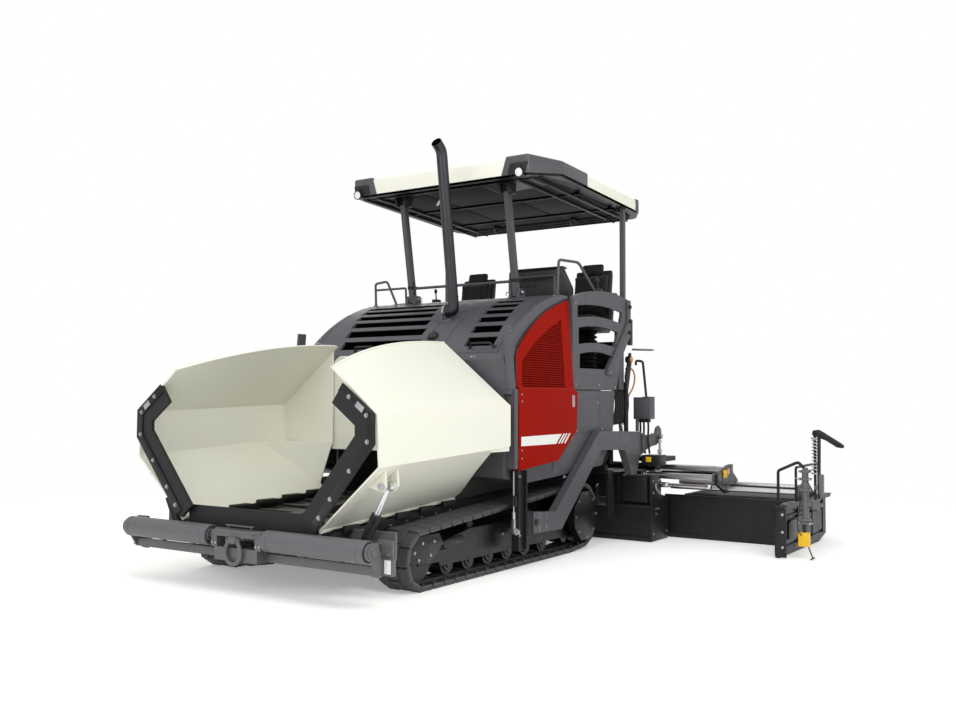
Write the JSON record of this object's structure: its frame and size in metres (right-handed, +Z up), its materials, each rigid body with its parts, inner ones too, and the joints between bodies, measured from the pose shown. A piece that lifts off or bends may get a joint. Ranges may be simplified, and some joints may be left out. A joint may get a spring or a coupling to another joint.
{
  "type": "tracked asphalt paver",
  "caption": "Tracked asphalt paver with front hopper wings, push rollers, folding roof, operators' platform, augers and a telescoping screed.",
  "frame": {"origin": "on the ground, at the centre of the bounding box seen from above", "axes": "+X is the machine's left, -Y is forwards to the hopper and push rollers, +Z is up"},
  "size_m": [6.92, 6.17, 3.8455],
  "materials": {
    "cream_paint": "gloss cream paint",
    "grey_paint": "satin dark grey paint",
    "mid_grey_paint": "satin mid grey paint",
    "black_paint": "satin black paint",
    "red_paint": "gloss red paint",
    "black_rubber": "matt black rubber",
    "track_steel": "cast track shoes with rubber pads",
    "worn_steel": "plain steel plate",
    "bare_steel": "dull steel tube",
    "cast_iron": "painted casting",
    "chrome": "chromed rod",
    "black_plastic": "textured black plastic",
    "roof_plastic": "moulded dark grey shell with cream bands",
    "black_fabric": "black seat fabric"
  },
  "bodies": {
    "chassis": {"main_frame": "black_paint", "conveyor": "worn_steel", "front_apron": "black_rubber", "side_brackets": "grey_paint", "track_left": "track_steel", "track_right": "track_steel", "track_frames": "black_paint", "hood": "grey_paint", "lower_body": "grey_paint", "engine_block": "cast_iron", "platform": "black_paint", "side_guards": "grey_paint", "hand_rails": "black_paint", "guide_rails": "black_paint", "auger_frame": "black_paint"},
    "roller_beam": {"roller_beam": "mid_grey_paint"},
    "tow_ring": {"tow_ring": "mid_grey_paint"},
    "exhaust": {"exhaust_pipe": "bare_steel"},
    "front_posts": {"front_posts": "grey_paint"},
    "roof": {"roof": "roof_plastic"},
    "rear_posts": {"rear_posts": "grey_paint"},
    "console": {"console": "black_plastic"},
    "tow_slides": {"tow_slides": "black_paint"},
    "screed": {"tow_arms": "grey_paint", "main_screed": "black_paint", "screed_guides": "black_paint", "walkway": "black_paint", "control_cabinets": "grey_paint"},
    "hopper_wing_left": {"hopper_wing_left": "cream_paint", "wing_seal_left": "black_rubber"},
    "wing_barrel_left": {"wing_barrel_left": "black_paint"},
    "wing_rod_left": {"wing_rod_left": "chrome"},
    "push_roller_left": {"push_roller_left": "mid_grey_paint"},
    "side_door_left": {"side_door_left": "red_paint"},
    "hood_hatch_left": {"hood_hatch_left": "grey_paint"},
    "seat_left": {"seat_frame_left": "black_paint", "seat_cushion_left": "black_fabric"},
    "auger_left": {"auger_left": "worn_steel"},
    "lift_barrel_left": {"lift_barrel_left": "black_paint"},
    "lift_rod_left": {"lift_rod_left": "chrome"},
    "carriage_left": {"carriage_left": "chrome"},
    "extension_left": {"extension_left": "black_paint"},
    "end_gate_left": {"end_gate_left": "black_paint", "sensor_left": "grey_paint"},
    "hopper_wing_right": {"hopper_wing_right": "cream_paint", "wing_seal_right": "black_rubber"},
    "wing_barrel_right": {"wing_barrel_right": "black_paint"},
    "wing_rod_right": {"wing_rod_right": "chrome"},
    "push_roller_right": {"push_roller_right": "mid_grey_paint"},
    "side_door_right": {"side_door_right": "red_paint"},
    "hood_hatch_right": {"hood_hatch_right": "grey_paint"},
    "seat_right": {"seat_frame_right": "black_paint", "seat_cushion_right": "black_fabric"},
    "auger_right": {"auger_right": "worn_steel"},
    "lift_barrel_right": {"lift_barrel_right": "black_paint"},
    "lift_rod_right": {"lift_rod_right": "chrome"},
    "carriage_right": {"carriage_right": "chrome"},
    "extension_right": {"extension_right": "black_paint"},
    "end_gate_right": {"end_gate_right": "black_paint", "sensor_right": "grey_paint"}
  },
  "joints": [
    {"name": "roller_beam_swing", "type": "hinge", "parent": "chassis", "child": "roller_beam", "pos_m": [0, -2.905, 0.28], "axis": [0, 0, 1], "range_deg": [-1.6, 1.6]},
    {"name": "tow_ring_swing", "type": "hinge", "parent": "roller_beam", "child": "tow_ring", "pos_m": [0, -3.064, 0.396], "axis": [1, 0, 0], "range_deg": [-85, 0]},
    {"name": "exhaust_fold", "type": "hinge", "parent": "chassis", "child": "exhaust", "pos_m": [0.273, -0.69, 2.287], "axis": [1, 0, 0], "range_deg": [0, 75]},
    {"name": "roof_fold", "type": "hinge", "parent": "chassis", "child": "front_posts", "pos_m": [0, -0.03, 2.47], "axis": [-1, 0, 0], "range_deg": [0, 44]},
    {"name": "roof_level", "type": "hinge", "parent": "front_posts", "child": "roof", "pos_m": [0, -0.2, 3.46], "axis": [1, 0, 0], "range_deg": [-2, 46]},
    {"name": "rear_posts_fold", "type": "hinge", "parent": "chassis", "child": "rear_posts", "pos_m": [0, 1.3, 2.49], "axis": [-1, 0, 0], "range_deg": [-2, 46]},
    {"name": "console_shift", "type": "slide", "parent": "chassis", "child": "console", "axis": [1, 0, 0], "range_m": [-1.11, 0]},
    {"name": "tow_point_lift", "type": "slide", "parent": "chassis", "child": "tow_slides", "axis": [0, 0, 1], "range_m": [0, 0.18]},
    {"name": "screed_lift", "type": "hinge", "parent": "tow_slides", "child": "screed", "pos_m": [0, -0.745, 0.385], "axis": [1, 0, 0], "range_deg": [0, 9]},
    {"name": "hopper_wing_open_left", "type": "hinge", "parent": "chassis", "child": "hopper_wing_left", "pos_m": [0.75, -2.925, 0.5], "axis": [0, 0.9981, 0.0609], "range_deg": [0, 30]},
    {"name": "wing_barrel_swing_left", "type": "hinge", "parent": "chassis", "child": "wing_barrel_left", "pos_m": [0.97, -2.74, 0.34], "axis": [0, 1, 0], "range_deg": [-1, 33]},
    {"name": "wing_rod_stroke_left", "type": "slide", "parent": "wing_barrel_left", "child": "wing_rod_left", "axis": [0.4683, 0, 0.8836], "range_m": [-0.15, 0.01]},
    {"name": "push_roller_spin_left", "type": "hinge", "parent": "roller_beam", "child": "push_roller_left", "pos_m": [0.79, -3.005, 0.407], "axis": [1, 0, 0], "continuous": true},
    {"name": "side_door_open_left", "type": "hinge", "parent": "chassis", "child": "side_door_left", "pos_m": [1.271, -1.032, 1.2], "axis": [0, 0, -1], "range_deg": [0, 100]},
    {"name": "hood_hatch_open_left", "type": "hinge", "parent": "chassis", "child": "hood_hatch_left", "pos_m": [0.7, -0.192, 2.405], "axis": [-1, 0, 0], "range_deg": [0, 55]},
    {"name": "seat_swivel_left", "type": "hinge", "parent": "chassis", "child": "seat_left", "pos_m": [0.75, 1.15, 2], "axis": [0, 0, 1], "range_deg": [-15, 70]},
    {"name": "auger_spin_left", "type": "hinge", "parent": "chassis", "child": "auger_left", "pos_m": [0.6, 0.93, 0.42], "axis": [1, 0, 0], "continuous": true},
    {"name": "lift_barrel_swing_left", "type": "hinge", "parent": "chassis", "child": "lift_barrel_left", "pos_m": [1.05, 1.25, 1.98], "axis": [1, 0, 0], "range_deg": [-6, 1]},
    {"name": "lift_rod_stroke_left", "type": "slide", "parent": "lift_barrel_left", "child": "lift_rod_left", "axis": [0, 0.205, -0.9788], "range_m": [-0.37, 0.01]},
    {"name": "extension_slide_left", "type": "slide", "parent": "screed", "child": "extension_left", "axis": [1, 0, 0], "range_m": [-1.3, 0.2]},
    {"name": "carriage_slide_left", "type": "slide", "parent": "screed", "child": "carriage_left", "axis": [1, 0, 0], "range_m": [-0.6, 0.1]},
    {"name": "end_gate_lift_left", "type": "slide", "parent": "extension_left", "child": "end_gate_left", "axis": [0, 0, 1], "range_m": [0, 0.15]},
    {"name": "hopper_wing_open_right", "type": "hinge", "parent": "chassis", "child": "hopper_wing_right", "pos_m": [-0.75, -2.925, 0.5], "axis": [0, -0.9981, -0.0609], "range_deg": [0, 30]},
    {"name": "wing_barrel_swing_right", "type": "hinge", "parent": "chassis", "child": "wing_barrel_right", "pos_m": [-0.97, -2.74, 0.34], "axis": [0, -1, 0], "range_deg": [-1, 33]},
    {"name": "wing_rod_stroke_right", "type": "slide", "parent": "wing_barrel_right", "child": "wing_rod_right", "axis": [-0.4683, 0, 0.8836], "range_m": [-0.15, 0.01]},
    {"name": "push_roller_spin_right", "type": "hinge", "parent": "roller_beam", "child": "push_roller_right", "pos_m": [-0.79, -3.005, 0.407], "axis": [1, 0, 0], "continuous": true},
    {"name": "side_door_open_right", "type": "hinge", "parent": "chassis", "child": "side_door_right", "pos_m": [-1.271, -1.032, 1.2], "axis": [0, 0, 1], "range_deg": [0, 100]},
    {"name": "hood_hatch_open_right", "type": "hinge", "parent": "chassis", "child": "hood_hatch_right", "pos_m": [-0.7, -0.192, 2.405], "axis": [-1, 0, 0], "range_deg": [0, 55]},
    {"name": "seat_swivel_right", "type": "hinge", "parent": "chassis", "child": "seat_right", "pos_m": [-0.75, 1.15, 2], "axis": [0, 0, -1], "range_deg": [-15, 70]},
    {"name": "auger_spin_right", "type": "hinge", "parent": "chassis", "child": "auger_right", "pos_m": [-0.6, 0.93, 0.42], "axis": [1, 0, 0], "continuous": true},
    {"name": "lift_barrel_swing_right", "type": "hinge", "parent": "chassis", "child": "lift_barrel_right", "pos_m": [-1.05, 1.25, 1.98], "axis": [1, 0, 0], "range_deg": [-6, 1]},
    {"name": "lift_rod_stroke_right", "type": "slide", "parent": "lift_barrel_right", "child": "lift_rod_right", "axis": [0, 0.205, -0.9788], "range_m": [-0.37, 0.01]},
    {"name": "extension_slide_right", "type": "slide", "parent": "screed", "child": "extension_right", "axis": [-1, 0, 0], "range_m": [-1.3, 0.2]},
    {"name": "carriage_slide_right", "type": "slide", "parent": "screed", "child": "carriage_right", "axis": [-1, 0, 0], "range_m": [-0.6, 0.1]},
    {"name": "end_gate_lift_right", "type": "slide", "parent": "extension_right", "child": "end_gate_right", "axis": [0, 0, 1], "range_m": [0, 0.15]}
  ],
  "couplings": [
    {"joint": "roof_level", "follows": "roof_fold", "ratio": 1},
    {"joint": "rear_posts_fold", "follows": "roof_fold", "ratio": 1},
    {"joint": "wing_barrel_swing_left", "follows": "hopper_wing_open_left", "ratio": 1.057},
    {"joint": "wing_rod_stroke_left", "follows": "hopper_wing_open_left", "m_per_rad": -0.274},
    {"joint": "lift_barrel_swing_left", "follows": "screed_lift", "ratio": -0.568},
    {"joint": "lift_rod_stroke_left", "follows": "screed_lift", "m_per_rad": -2.2546},
    {"joint": "carriage_slide_left", "follows": "extension_slide_left", "ratio": 0.46},
    {"joint": "wing_barrel_swing_right", "follows": "hopper_wing_open_right", "ratio": 1.057},
    {"joint": "wing_rod_stroke_right", "follows": "hopper_wing_open_right", "m_per_rad": -0.274},
    {"joint": "lift_barrel_swing_right", "follows": "screed_lift", "ratio": -0.568},
    {"joint": "lift_rod_stroke_right", "follows": "screed_lift", "m_per_rad": -2.2546},
    {"joint": "carriage_slide_right", "follows": "extension_slide_right", "ratio": 0.46}
  ]
}
